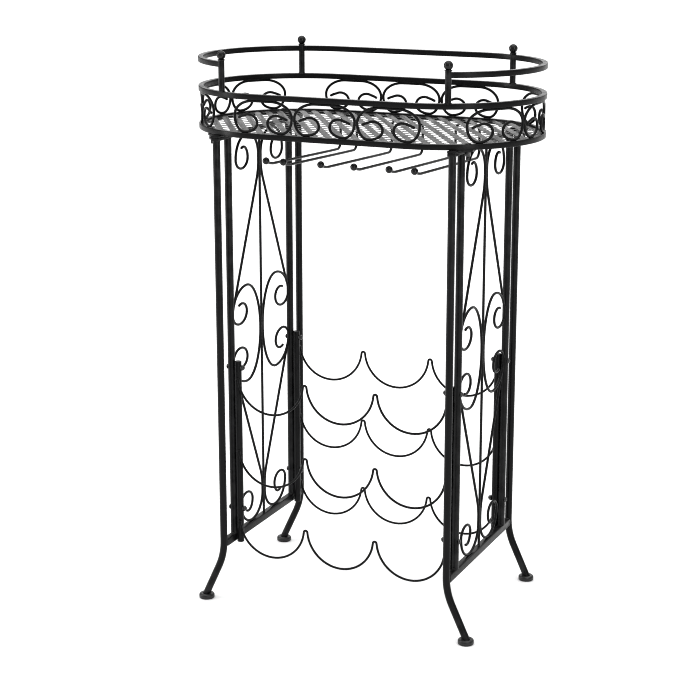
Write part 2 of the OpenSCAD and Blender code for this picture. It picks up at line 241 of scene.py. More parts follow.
def block_mesh(bm, low, high, edge, segments=3):
    """A bar with rounded edges between two corners."""
    low, high = Vector(low), Vector(high)
    made = bmesh.ops.create_cube(bm, size=1)["verts"]
    bmesh.ops.scale(bm, vec=high - low, verts=made)
    bmesh.ops.translate(bm, vec=(low + high) / 2, verts=made)
    edges = list({e for v in made for e in v.link_edges})
    bmesh.ops.bevel(bm, geom=edges, affect="EDGES", offset=edge, offset_type="OFFSET",
                    segments=segments, profile=0.5, material=-1)


def turned_mesh(outline, steps=32):
    """A lathe-turned shape: outline is (radius, height) pairs from the bottom pole to the top."""
    bm = bmesh.new()
    verts = [bm.verts.new((r, 0, z)) for r, z in outline]
    edges = [bm.edges.new(pair) for pair in zip(verts, verts[1:])]
    bmesh.ops.spin(bm, geom=verts + edges, axis=(0, 0, 1), cent=(0, 0, 0), angle=math.tau,
                   steps=steps, use_merge=True)
    bmesh.ops.remove_doubles(bm, verts=bm.verts, dist=0.002 * mm)
    bmesh.ops.recalc_face_normals(bm, faces=bm.faces)
    mesh = bpy.data.meshes.new("turned")
    bm.to_mesh(mesh)
    bm.free()
    return mesh


def repeated(name, mesh, places, sharp=38):
    """One object that holds a copy of the mesh at each place."""
    bm = bmesh.new()
    for place in places:
        add_mesh(bm, mesh, place)
    bpy.data.meshes.remove(mesh)
    return settle(name, bm, sharp)


# ---------- finishes ----------

class Finish:
    """Short-hand for building one material's nodes."""

    def __init__(self, name):
        self.material = bpy.data.materials.new(name)
        self.material.use_nodes = True
        self.tree = self.material.node_tree
        self.shader = self.tree.nodes["Principled BSDF"]
        self.place = self.node("ShaderNodeTexCoord").outputs["Object"]

    def node(self, kind, **settings):
        made = self.tree.nodes.new(kind)
        for key, value in settings.items():
            setattr(made, key, value)
        return made

    def join(self, output, socket):
        self.tree.links.new(output, socket)

    def noise(self, scale, detail=4.0, roughness=0.55, distortion=0.0):
        made = self.node("ShaderNodeTexNoise")
        made.inputs["Scale"].default_value = scale
        made.inputs["Detail"].default_value = detail
        made.inputs["Roughness"].default_value = roughness
        made.inputs["Distortion"].default_value = distortion
        self.join(self.place, made.inputs["Vector"])
        return made.outputs["Fac"]

    def ramp(self, value, low, high, start=0.0, stop=1.0):
        """value from start to stop is carried to low to high."""
        made = self.node("ShaderNodeMapRange")
        made.inputs["From Min"].default_value = start
        made.inputs["From Max"].default_value = stop
        made.inputs["To Min"].default_value = low
        made.inputs["To Max"].default_value = high
        self.join(value, made.inputs["Value"])
        return made.outputs["Result"]

    def maths(self, operation, first, second):
        made = self.node("ShaderNodeMath", operation=operation)
        for socket, value in zip(made.inputs, (first, second)):
            if isinstance(value, (int, float)):
                socket.default_value = value
            else:
                self.join(value, socket)
        return made.outputs[0]

    def blend(self, share, first, second):
        """Colour first goes over to second as share goes from 0 to 1."""
        made = self.node("ShaderNodeMix", data_type="RGBA")
        self.join(share, made.inputs["Factor"])
        for socket, value in ((made.inputs[6], first), (made.inputs[7], second)):
            if isinstance(value, tuple):
                socket.default_value = (*value, 1)
            else:
                self.join(value, socket)
        return made.outputs[2]

    def bump(self, height, strength, distance, under=None):
        made = self.node("ShaderNodeBump")
        made.inputs["Strength"].default_value = strength
        made.inputs["Distance"].default_value = distance
        self.join(height, made.inputs["Height"])
        if under:
            self.join(under, made.inputs["Normal"])
        return made.outputs["Normal"]


def powder_coat(name, black, grey, rough, peel=1.0, wear=0.5, dust=0.25, specular=0.4):
    """Satin powder coat over steel: orange peel, uneven sheen, rubbed edges, a little dust on top."""
    f = Finish(name)
    patches = f.noise(9, detail=5)
    cloud = f.noise(55, detail=3)
    colour = f.blend(f.ramp(patches, 0, 1, 0.3, 0.7), black, grey)

    geometry = f.node("ShaderNodeNewGeometry")
    edges = f.ramp(geometry.outputs["Pointiness"], 0, 1, 0.53, 0.62)
    rubbed = f.maths("MULTIPLY", edges, f.ramp(cloud, 0, wear, 0.42, 0.62))
    colour = f.blend(rubbed, colour, (0.035, 0.035, 0.036))

    upward = f.node("ShaderNodeSeparateXYZ")
    f.join(geometry.outputs["Normal"], upward.inputs[0])
    lying = f.ramp(upward.outputs["Z"], 0, 1, 0.55, 0.98)
    dusty = f.maths("MULTIPLY", lying, f.ramp(f.noise(120, detail=6), 0, dust, 0.4, 0.75))
    colour = f.blend(dusty, colour, (0.06, 0.058, 0.056))
    f.join(colour, f.shader.inputs["Base Color"])

    sheen = f.ramp(cloud, rough - 0.07, rough + 0.09, 0.25, 0.75)
    sheen = f.maths("ADD", sheen, f.maths("MULTIPLY", dusty, 0.3))
    sheen = f.maths("SUBTRACT", sheen, f.maths("MULTIPLY", rubbed, 0.12))
    f.join(sheen, f.shader.inputs["Roughness"])
    f.shader.inputs["Specular IOR Level"].default_value = specular

    waves = f.bump(f.noise(190, detail=1), 0.16 * peel, 0.35 * mm)
    skin = f.bump(f.noise(1500, detail=2), 0.14 * peel, 0.12 * mm, waves)
    f.join(skin, f.shader.inputs["Normal"])
    return f.material


iron = powder_coat("satin_black_powder_coat", (0.0018, 0.0018, 0.002), (0.0045, 0.0045, 0.0048), 0.3,
                   specular=0.11)
wire_iron = powder_coat("powder_coated_wire", (0.0018, 0.0018, 0.002), (0.004, 0.004, 0.0043), 0.32,
                        peel=0.7, wear=0.3, specular=0.1)
sheet_iron = powder_coat("powder_coated_mesh", (0.006, 0.006, 0.0065), (0.02, 0.02, 0.0205), 0.34,
                         peel=0.8, wear=0.6, dust=0.3, specular=0.2)
weld_iron = powder_coat("coated_weld", (0.002, 0.002, 0.0022), (0.005, 0.005, 0.0052), 0.3,
                        peel=2.2, wear=0.7, specular=0.2)
zinc_black = powder_coat("black_zinc", (0.006, 0.006, 0.0065), (0.014, 0.014, 0.0145), 0.2,
                         peel=0.3, wear=0.8, specular=0.45)
ball_black = powder_coat("ball_coat", (0.002, 0.002, 0.0022), (0.004, 0.004, 0.0042), 0.2,
                         peel=0.5, wear=0.6, dust=0.1, specular=0.26)
pad_black = powder_coat("foot_pad_coat", (0.002, 0.002, 0.0022), (0.005, 0.005, 0.0052), 0.36,
                        peel=1.6, wear=0.9, dust=0.2, specular=0.4)


def put_on(piece, material, slot, *nodes):
    piece.data.materials.clear()
    piece.data.materials.append(material)
    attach(piece, "root")
    if nodes:
        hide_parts(*nodes)
    return piece


# ---------- weld beads ----------

beads = {"side_left": [], "side_right": [], "cradles": [], "tray": [], "hangers": []}


def weld(group, place, along=(0, 0, 1), length=3.0, thick=1.5):
    """Notes one weld bead, in millimetres of half length and thickness, at a place."""
    beads[group].append((Vector(place), Vector(along).normalized(), length * mm, thick * mm))


def weld_beads():
    """All the noted beads: small lumps, each drawn out along its seam and pitted a little."""
    for group, noted in beads.items():
        bm = bmesh.new()
        for place, along, length, thick in noted:
            turn = along.to_track_quat("Z", "Y").to_matrix().to_4x4()
            lump = bmesh.ops.create_icosphere(bm, subdivisions=2, radius=1)["verts"]
            for v in lump:
                ripple = noise.noise(v.co * 1.7 + place * 900)
                v.co = v.co * (1 + 0.22 * ripple)
            bmesh.ops.scale(bm, vec=(thick, thick, length), verts=lump)
            bmesh.ops.transform(bm, matrix=Matrix.Translation(place) @ turn, verts=lump)
        put_on(settle(f"weld_beads_{group}", bm, 80), weld_iron, "iron_black")


# ---------- side frames ----------

def side_frames():
    for side, sx in SIDES.items():
        x = sx * frame_x
        for end, ey in ENDS.items():
            leg(side, sx, end, ey)
            foot(side, sx, end, ey)
            post(side, sx, end, ey)
            long_scrolls(side, sx, end, ey)
            c_scroll(side, sx, end, ey)
        bars(side, x)


leg_bend_r = 100 * mm
splay = 25


def leg(side, sx, end, ey):
    out = leg_bend_r * (1 - math.cos(math.radians(splay)))
    drop = leg_bend_r * math.sin(math.radians(splay))
    lean = math.tan(math.radians(splay))
    shin = (foot_x - frame_x - out) / lean
    bend_top = foot_top + shin + drop
    sink = 3 * mm
    path = [(0, bar_under + weld_sink), (0, (bar_under + bend_top) / 2)]
    bend = arc((0, 0), leg_bend_r, leg_bend_r, 0, splay, 2.5)
    path += [(leg_bend_r - a, bend_top - b) for a, b in bend]
    path += [(out + (shin + sink) * lean, foot_top - sink)]
    points = [(sx * (frame_x + a), ey * leg_y, b) for a, b in path]
    piece = swept(f"leg_tube_{end}_{side}", [points], radius=tube_r, sides=32, tips=False)
    put_on(piece, iron, "iron_black", f"leg_{end}_{side}")
    group = f"side_{side}"
    inner = ey * (leg_y - tube_r)
    low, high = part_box(f"bottom_bar_{side}")
    for z in (low.z + 1.2 * mm, high.z - 0.6 * mm):
        weld(group, (sx * frame_x, inner, z), (1, 0, 0), 3.4, 1.5)
    for dx in (-1, 1):
        beside = (sx * frame_x + dx * 4.3 * mm, inner, (low.z + high.z) / 2)
        weld(group, beside, (0, 0, 1), 4.6, 1.3)
    weld(group, (sx * frame_x, inner, bar_under), (1, 0, 0), 4, 1.5)


def foot(side, sx, end, ey):
    """A rounded pad with a dished top, where the tube goes in."""
    r, top = foot_r, foot_top
    outline = [(0, 0), (r - 1.9 * mm, 0)]
    outline += arc((r - 1.9 * mm, 1.9 * mm), 1.9 * mm, 1.9 * mm, -90, 0, 22.5)[1:]
    outline += arc((r - 3.4 * mm, top - 3.4 * mm), 3.4 * mm, 3.4 * mm, 0, 110, 15)
    outline += bow(outline[-1], (6.6 * mm, top - 0.5 * mm), (5.6 * mm, top - 1.6 * mm), 5)[1:]
    outline += [(4 * mm, top - 2.4 * mm), (0, top - 2.4 * mm)]
    place = Matrix.Translation((sx * foot_x, ey * leg_y, 0))
    piece = repeated(f"foot_pad_{end}_{side}", turned_mesh(outline, 48), [place])
    put_on(piece, pad_black, "foot_black", f"foot_{end}_{side}")
    lean = Vector((sx * math.tan(math.radians(splay)), 0, -1))
    for turn in range(6):
        a = math.tau * turn / 6
        around = Vector((math.cos(a) * (tube_r + 0.1 * mm), math.sin(a) * (tube_r + 0.1 * mm), 0))
        place = Vector((sx * foot_x, ey * leg_y, foot_top - 1.1 * mm)) + around
        weld(f"side_{side}", place, around.cross(lean), 2.4, 0.9)


def post(side, sx, end, ey):
    x, y = sx * frame_x, ey * post_y
    path = [(x, y, low_bar_top - weld_sink), (x, y, frame_mid), (x, y, bar_under + weld_sink)]
    piece = swept(f"post_tube_{end}_{side}", [path], radius=tube_r, sides=32, tips=False)
    put_on(piece, iron, "iron_black", f"post_{end}_{side}")
    for z in (low_bar_top, bar_under):
        for dy in (-1, 1):
            weld(f"side_{side}", (x, y + dy * tube_r, z), (1, 0, 0), 3.2, 1.3)


def bars(side, x):
    low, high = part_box(f"bottom_bar_{side}")
    bm = bmesh.new()
    block_mesh(bm, low, high, 1.4 * mm, 4)
    put_on(settle(f"bottom_rail_{side}", bm), iron, "iron_black", f"bottom_bar_{side}")
    low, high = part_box(f"top_bar_{side}")
    bm = bmesh.new()
    block_mesh(bm, low, high, 0.8 * mm)
    put_on(settle(f"top_flat_{side}", bm), iron, "iron_black", f"top_bar_{side}")
    path = [(x, 0, low_bar_top - weld_sink), (x, 0, frame_mid), (x, 0, bar_under + weld_sink)]
    piece = swept(f"rod_centre_{side}", [path], radius=scroll_r, sides=16, tips=False)
    put_on(piece, wire_iron, "iron_black", f"centre_rod_{side}")
    for z in (low_bar_top, bar_under):
        weld(f"side_{side}", (x, 0, z), (0, 1, 0), 2.6, 1.6)


# Long scroll, from the C-scroll's shoulder up beside the rod, over in a crook and into its curl:
# (out from the centre rod, up from the middle of the frame)
rod_side = 2 * scroll_r
crook_w = 74 * mm
crook_rise = 35 * mm
crook_mid = (rod_side + crook_w / 2, frame_half - scroll_r - crook_rise)
curl_w = 39 * mm
curl_mid = (rod_side + crook_w - curl_w / 2, crook_mid[1])
shoulder = (91 * mm, 51 * mm)


def long_scroll_path():
    turn_in = (9.4 * mm, 235.6 * mm)
    beside = (rod_side, crook_mid[1] - 9 * mm)
    corner = (rod_side, 248.7 * mm)
    path = [shoulder, tuple((a + b) / 2 for a, b in zip(shoulder, turn_in))]
    path += bow(turn_in, corner, beside)
    path += arc(crook_mid, crook_w / 2, crook_rise + weld_sink, 180, 0)
    path += arc(curl_mid, curl_w / 2, 15 * mm, 0, -180)
    path += arc((curl_mid[0] - 5.5 * mm, curl_mid[1]), 14 * mm, 17 * mm, 180, 60)
    return thinned(path)


def long_scrolls(side, sx, end, ey):
    x = sx * frame_x
    group = f"side_{side}"
    for level, up in (("upper", 1), ("lower", -1)):
        points = [(x, ey * a, frame_mid + up * b) for a, b in long_scroll_path()]
        piece = swept(f"long_curl_{level}_{end}_{side}", [points], radius=scroll_r, sides=14)
        put_on(piece, wire_iron, "iron_black", f"{level}_scroll_{end}_{side}")
        crown = (x, ey * crook_mid[0], frame_mid + up * (frame_half - 0.3 * mm))
        weld(group, crown, (0, 1, 0), 3.6, 1.5)
        beside_rod = (x, ey * scroll_r, frame_mid + up * (crook_mid[1] - 4 * mm))
        weld(group, beside_rod, (0, 0, 1), 5, 1.2)
        meeting = (x, ey * (shoulder[0] + 0.6 * mm), frame_mid + up * shoulder[1])
        weld(group, meeting, (0, -0.5, up), 3.4, 1.9)


# C-scroll: half of its outline, from beside the rod over the top and into its curl
c_half_w = (post_y - tube_r - rod_side - scroll_r + weld_sink) / 2
c_mid = rod_side + c_half_w
c_half_h = 76 * mm
c_curl_z = 36 * mm


def c_scroll(side, sx, end, ey):
    x = sx * frame_x
    right = c_mid + c_half_w
    half = arc((c_mid, 0), c_half_w, c_half_h, 180, 90, 5)
    half += arc((c_mid, c_curl_z), c_half_w, c_half_h - c_curl_z, 90, 0, 5)
    half += arc((right - 23 * mm, c_curl_z), 23 * mm, 17 * mm, 0, -180)
    half += arc((right - 29 * mm, c_curl_z), 17 * mm, 14 * mm, 180, 55)
    whole = thinned([(a, -b) for a, b in reversed(half)] + half)
    points = [(x, ey * a, frame_mid + b) for a, b in whole]
    piece = swept(f"c_curl_{end}_{side}", [points], radius=scroll_r, sides=14)
    put_on(piece, wire_iron, "iron_black", f"c_scroll_{end}_{side}")
    group = f"side_{side}"
    weld(group, (x, ey * scroll_r, frame_mid), (0, 0, 1), 5, 1.4)
    for up in (-1, 1):
        weld(group, (x, ey * (right + scroll_r), frame_mid + up * c_curl_z), (0, 0, 1), 4.6, 1.4)


# ---------- bottle cradles ----------

bay = 115 * mm
cradle_drop = 52.6 * mm
hairpin_r = 3 * mm
cusp_rise = cradle_drop - hairpin_r
cradle_r = ((bay / 2) ** 2 + cusp_rise ** 2 - hairpin_r ** 2) / (2 * (cusp_rise + hairpin_r))
arc_half = 180 - math.degrees(math.acos((cusp_rise - cradle_r) / (cradle_r + hairpin_r)))


def cradle_path():
    """Three bays joined by hairpins over the cusps: (across, up from the cusps)."""
    edge = 1.5 * bay + 1 * mm
    path = [(-edge, 1 * mm - hairpin_r)]
    for k in (-1, 0, 1):
        bed = (k * bay, cradle_r - cradle_drop)
        path += arc(bed, cradle_r, cradle_r, -90 - arc_half, -90 + arc_half)
        if k < 1:
            cusp = ((k + 0.5) * bay, -hairpin_r)
            path += arc(cusp, hairpin_r, hairpin_r, 90 + arc_half, 90 - arc_half, 20)
    return thinned(path + [(edge, 1 * mm - hairpin_r)])


def cradles():
    for end, ey in ENDS.items():
        for row in ("top", "middle", "bottom"):
            node = f"cradle_wire_{end}_{row}"
            cusp_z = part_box(node)[1].z - cradle_wire_r
            points = [(a, ey * cradle_y, cusp_z + b) for a, b in cradle_path()]
            piece = swept(f"scallop_{end}_{row}", [points], radius=cradle_wire_r, sides=14)
            put_on(piece, wire_iron, "iron_black", node)
            for sx in SIDES.values():
                place = (sx * (1.5 * bay - 1 * mm), ey * (cradle_y - 1.2 * mm), cusp_z - hairpin_r)
                weld("cradles", place, (1, 0, 0.3), 3.2, 1.6)
        for side, sx in SIDES.items():
            node = f"cradle_post_{end}_{side}"
            low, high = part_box(node)
            x, y = sx * cradle_x, ey * post_y
            edge = 0.8 * mm
            outline = [(0, 0)] + arc((tube_r - edge, edge), edge, edge, -90, 0, 30)
            outline += arc((tube_r - edge, high.z - low.z - edge), edge, edge, 0, 90, 30)
            outline += [(0, high.z - low.z)]
            place = Matrix.Translation((x, y, low.z))
            piece = repeated(f"cradle_tube_{end}_{side}", turned_mesh(outline, 32), [place])
            put_on(piece, iron, "iron_black", node)


bolt_heights = (143 * mm, 369 * mm)
bolt_head_r = 4 * mm
bolt_r = 2 * mm
nut_r = 4.5 * mm


def bolt_places():
    for sx in SIDES.values():
        for ey in ENDS.values():
            for z in bolt_heights:
                turn = Matrix.Rotation(sx * math.pi / 2, 4, "Y")
                yield Matrix.Translation((sx * frame_x, ey * post_y, z)) @ turn


def screw_head(radius, height, recess, depth):
    """Low pan head from its rim to its recess: (radius, height) pairs above the seat."""
    dome = arc((0, 0), radius, height, 12, 75, 9)
    return [(radius, 0)] + dome + [(recess, height - 0.1 * mm), (recess * 0.8, height - depth),
                                   (0, height - depth)]


def threaded(radius, low, high, pitch=0.8 * mm):
    """Side of a threaded rod as rings of crests and roots."""
    count = int((high - low) / pitch)
    points = []
    for i in range(count):
        points += [(radius - 0.3 * mm, low + i * pitch), (radius, low + (i + 0.5) * pitch)]
    return points


def cradle_fasteners():
    places = list(bolt_places())
    tail = 3 * tube_r + 4 * mm
    outline = [(0, -tail), (bolt_r - 0.4 * mm, -tail)]
    outline += threaded(bolt_r, -tail + 0.4 * mm, tube_r - 1 * mm) + [(bolt_r, tube_r)]
    head = screw_head(bolt_head_r, 2.9 * mm, 1.7 * mm, 1.6 * mm)
    outline += [(r, tube_r + z) for r, z in head]
    piece = repeated("pan_head_bolts", turned_mesh(outline), places)
    put_on(piece, zinc_black, "fastener_black", "cradle_bolts")

    seat = -3 * tube_r
    bm = bmesh.new()
    bmesh.ops.create_cone(bm, cap_ends=True, segments=6, radius1=nut_r, radius2=nut_r, depth=3.2 * mm)
    bmesh.ops.translate(bm, vec=(0, 0, seat - 1.6 * mm), verts=bm.verts)
    bmesh.ops.bevel(bm, geom=list(bm.edges), affect="EDGES", offset=0.35 * mm, segments=2,
                    profile=0.5, material=-1)
    hexagon = bpy.data.meshes.new("hexagon")
    bm.to_mesh(hexagon)
    bm.free()
    dome_r = 3.7 * mm
    dome = [(0, seat - 5.95 * mm)] + arc((0, seat - 2.6 * mm), dome_r, 3.35 * mm, -80, 0, 10)
    dome += [(dome_r, seat - 1 * mm), (0, seat - 1 * mm)]
    cap = turned_mesh(dome)
    bm = bmesh.new()
    for place in places:
        add_mesh(bm, hexagon, place)
        add_mesh(bm, cap, place)
    put_on(settle("dome_nuts", bm, 30), zinc_black, "fastener_black", "cradle_nuts")


# ---------- tray ----------

def rings():
    profile = square_profile(ring_bar, 1.1 * mm)
    whole = 4 * tray_straight + 2 * end_len
    for name, node in (("rim_bar", "tray_rim"), ("gallery_bar", "gallery_ring")):
        low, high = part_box(node)
        path = ring_path(0, whole, (low.z + high.z) / 2)[:-1]
        put_on(swept(name, [path], profile=profile, closed=True), iron, "iron_black", node)
    path = ring_path(post_arc, whole - post_arc, rail_under + ring_bar / 2)
    put_on(swept("open_rail", [path], profile=profile), iron, "iron_black", "top_rail")
    bpy.data.objects.remove(profile)


def post_places():
    x, y = on_ring(post_arc)
    return [Matrix.Translation((sx * x, ey * y, 0)) for sx in (-1, 1) for ey in (-1, 1)]


def rail_uprights():
    low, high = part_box("rail_posts")
    outline = [(0, low.z), (rail_post_r, low.z), (rail_post_r, high.z), (0, high.z)]
    piece = repeated("rail_uprights", turned_mesh(outline, 28), post_places())
    put_on(piece, iron, "iron_black", "rail_posts")

    low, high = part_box("finials")
    ball = 6.5 * mm
    centre = high.z - ball
    collar = rail_post_r + 1 * mm
    outline = [(0, low.z), (collar - 0.4 * mm, low.z), (collar, low.z + 0.4 * mm)]
    outline += [(collar, low.z + 1 * mm), (collar - 0.6 * mm, low.z + 1.5 * mm)]
    outline += [(3.6 * mm, low.z + 1.9 * mm)] + arc((0, centre), ball, ball, -58, 90, 7.4)
    piece = repeated("ball_finials", turned_mesh(outline, 40), post_places())
    put_on(piece, ball_black, "iron_black", "finials")
    for place in post_places():
        x, y, _ = place.translation
        for turn in range(5):
            a = math.tau * turn / 5
            around = Vector((math.cos(a), math.sin(a), 0)) * (rail_post_r + 0.1 * mm)
            weld("tray", Vector((x, y, gallery_under + ring_bar)) + around,
                 around.cross(Vector((0, 0, 1))), 2.6, 1.0)


scroll_w = 97.6 * mm
scroll_half = scroll_w / 2 - scroll_r


def gallery_scroll_path():
    """Half a gallery scroll: (along the ring from its middle, up from the rim)."""
    left = -scroll_half
    tail = (left + 6.5 * mm, 21 * mm)
    curl = (left + 24.5 * mm, 15 * mm)
    foot_centre = left + 17 * mm
    sole = 15 * mm - scroll_r + weld_sink
    heel = 24 * mm
    path = bow(tail, (left + 13 * mm, 24.4 * mm), (curl[0] - 7 * mm, curl[1] + 10.4 * mm), 4)
    path += arc(curl, 14 * mm, 12 * mm, 120, 0)
    path += arc((foot_centre, 15 * mm), 21.5 * mm, sole, 0, -90)
    path += arc((foot_centre, heel), 17 * mm, heel - scroll_r + weld_sink, 270, 180)
    path += arc((left + 33 * mm, heel), 33 * mm, scroll_h - heel - scroll_r + weld_sink, 180, 90, 5)
    top = scroll_h - scroll_r + weld_sink
    path += [(left + 33 * mm + (scroll_half - 33 * mm) * k / 3, top) for k in (1, 2, 3)]
    return thinned(path)


def gallery_scrolls():
    half = gallery_scroll_path()
    whole = half + [(-a, b) for a, b in reversed(half[:-1])]
    quarter = tray_straight + end_len / 2
    front = -6 * mm
    right = quarter + 2.5 * mm
    centres = {"front": front, "right": right,
               "back": front + 2 * quarter, "left": right + 2 * quarter}
    for name, centre in centres.items():
        paths = []
        for k in (-1, 0, 1):
            s = centre + k * scroll_w
            paths.append([(*on_ring(s + a), rim_high.z + b) for a, b in whole])
            sole = scroll_half - 17 * mm
            seams = ((-sole, rim_high.z, 3.2), (sole, rim_high.z, 3.2), (0, gallery_under, 4.5))
            for a, z, half_len in seams:
                x, y = on_ring(s + a)
                ahead = Vector(on_ring(s + a + 1 * mm)) - Vector((x, y))
                weld("tray", (x, y, z), (*ahead, 0), half_len, 1.3)
            if k < 1:
                weld("tray", (*on_ring(s + scroll_w / 2), rim_high.z + 24 * mm), (0, 0, 1), 4, 1.5)
        piece = swept(f"gallery_curls_{name}", paths, radius=scroll_r, sides=14)
        put_on(piece, wire_iron, "iron_black", f"gallery_scrolls_{name}")


# Tray floor: steel sheet slit and drawn open, with domed diagonal ribs and thin cross strands
step_x = 10.8 * mm
step_y = 16.8 * mm
rib_share = 0.26
strand_share = 0.075
sheet_t = 0.6 * mm
plain_edge = 5 * mm
rib_dome = 0.75 * mm
slot_phase = (5.5 * mm, 2.5 * mm)
across_cell = [0, 0.09, 0.18, rib_share, 1 - rib_share, 0.82, 0.91]
along_cell = [0, strand_share, 0.25, 0.5, 0.75, 1 - strand_share]


def mesh_floor():
    edge_r = tray_r - ring_bar / 2 + 0.4 * mm
    reach = math.ceil(((tray_straight + edge_r) / step_x + edge_r / step_y) / 2) + 1
    cells = 2 * reach
    columns, rows = len(across_cell), len(along_cell)
    bm = bmesh.new()
    bmesh.ops.create_grid(bm, x_segments=cells * columns, y_segments=cells * rows, size=0.5)
    for v in bm.verts:
        i = round((v.co.x + 0.5) * cells * columns)
        j = round((v.co.y + 0.5) * cells * rows)
        s = i // columns + across_cell[i % columns] - reach
        t = j // rows + along_cell[j % rows] - reach
        x = slot_phase[0] + (s + t - 1) * step_x
        y = slot_phase[1] + (s - t) * step_y
        off_rib = min(s % 1, 1 - s % 1) / rib_share
        lift = rib_dome * math.cos(off_rib * math.pi / 2) if off_rib < 1 else 0
        v.co = (x, y, mesh_z + lift)
    gone = []
    for face in bm.faces:
        c = face.calc_center_median()
        p, q = (c.x - slot_phase[0]) / step_x + 1, (c.y - slot_phase[1]) / step_y
        s, t = ((p + q) / 2) % 1, ((p - q) / 2) % 1
        in_slot = rib_share < s < 1 - rib_share and strand_share < t < 1 - strand_share
        from_axis = math.hypot(max(abs(c.x) - tray_straight, 0), c.y)
        if (in_slot and from_axis < edge_r - plain_edge) or from_axis > edge_r + 25 * mm:
            gone.append(face)
    bmesh.ops.delete(bm, geom=gone, context="FACES")
    cuts = 96
    for k in range(cuts):
        a = math.tau * (k + 0.5) / cuts
        normal = Vector((math.cos(a), math.sin(a), 0))
        on_edge = Vector((math.copysign(tray_straight, normal.x), 0, 0)) + normal * edge_r
        bmesh.ops.bisect_plane(bm, geom=list(bm.verts) + list(bm.edges) + list(bm.faces),
                               plane_co=on_edge, plane_no=normal, clear_outer=True)
    bmesh.ops.remove_doubles(bm, verts=bm.verts, dist=0.01 * mm)
    bmesh.ops.recalc_face_normals(bm, faces=bm.faces)
    if sum(f.normal.z for f in bm.faces) < 0:
        bmesh.ops.reverse_faces(bm, faces=bm.faces)
    bmesh.ops.solidify(bm, geom=list(bm.faces), thickness=-sheet_t)
    put_on(settle("expanded_mesh", bm, 35), sheet_iron, "mesh_black", "tray_mesh")


screw_head_r = 4.5 * mm
screw_r = 2.5 * mm


def corner_plates():
    low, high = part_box("tray_brackets")
    screw_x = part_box("tray_screws")[1].x - screw_head_r
    screw_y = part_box("tray_screws")[1].y - screw_head_r
    half, edge_r = 6 * mm, rim_high.y
    lug_x = screw_x + 7 * mm
    lug_y = math.sqrt(edge_r ** 2 - (lug_x - tray_straight) ** 2)
    start = math.degrees(math.asin(lug_y / edge_r))
    stop = math.degrees(math.acos((frame_x + half - tray_straight) / edge_r))
    corner = [(frame_x - half, screw_y - 8 * mm), (lug_x, screw_y - 8 * mm)]
    corner += arc((tray_straight, 0), edge_r, edge_r, start, stop, 3)
    corner += [(frame_x + half, leg_y + half), (frame_x - half, leg_y + half)]
    bm = bmesh.new()
    for sx in (-1, 1):
        for ey in (-1, 1):
            face = bm.faces.new([bm.verts.new((sx * x, ey * y, low.z)) for x, y in corner])
            grown = bmesh.ops.extrude_face_region(bm, geom=[face])["geom"]
            moved = [g for g in grown if isinstance(g, bmesh.types.BMVert)]
            bmesh.ops.translate(bm, vec=(0, 0, high.z - low.z), verts=moved)
            for place in ((frame_x - 2 * mm, screw_y - 8 * mm), (frame_x + 5.5 * mm, leg_y + 2 * mm)):
                weld("tray", (sx * place[0], ey * place[1], low.z), (1, 0.4, 0), 5, 1.3)
    bmesh.ops.recalc_face_normals(bm, faces=bm.faces)
    bmesh.ops.bevel(bm, geom=list(bm.edges), affect="EDGES", offset=0.5 * mm, segments=2,
                    profile=0.5, material=-1)
    put_on(settle("corner_plates", bm), iron, "iron_black", "tray_brackets")

    places = [Matrix.Translation((sx * screw_x, ey * screw_y, 0))
              for sx in (-1, 1) for ey in (-1, 1)]
    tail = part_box("tray_screws")[0].z
    outline = [(0, tail), (screw_r - 0.5 * mm, tail)] + threaded(screw_r, tail + 0.4 * mm, high.z)
    outline += [(screw_r, rim_high.z)]
    head = screw_head(screw_head_r, 1.95 * mm, 2 * mm, 1.2 * mm)
    outline += [(r, rim_high.z + z) for r, z in head]
    piece = repeated("pan_head_screws", turned_mesh(outline), places)
    put_on(piece, zinc_black, "fastener_black", "tray_screws")

    low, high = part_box("tray_nuts")
    bm = bmesh.new()
    for place in places:
        made = bmesh.ops.create_cone(bm, cap_ends=True, segments=6, radius1=nut_r, radius2=nut_r,
                                     depth=high.z - low.z)["verts"]
        lift = Vector((0, 0, (low.z + high.z) / 2))
        bmesh.ops.translate(bm, vec=place.translation + lift, verts=made)
    bmesh.ops.bevel(bm, geom=list(bm.edges), affect="EDGES", offset=0.4 * mm, segments=2,
                    profile=0.5, material=-1)
    put_on(settle("hex_nuts", bm, 30), zinc_black, "fastener_black", "tray_nuts")


# ---------- stemware hangers ----------

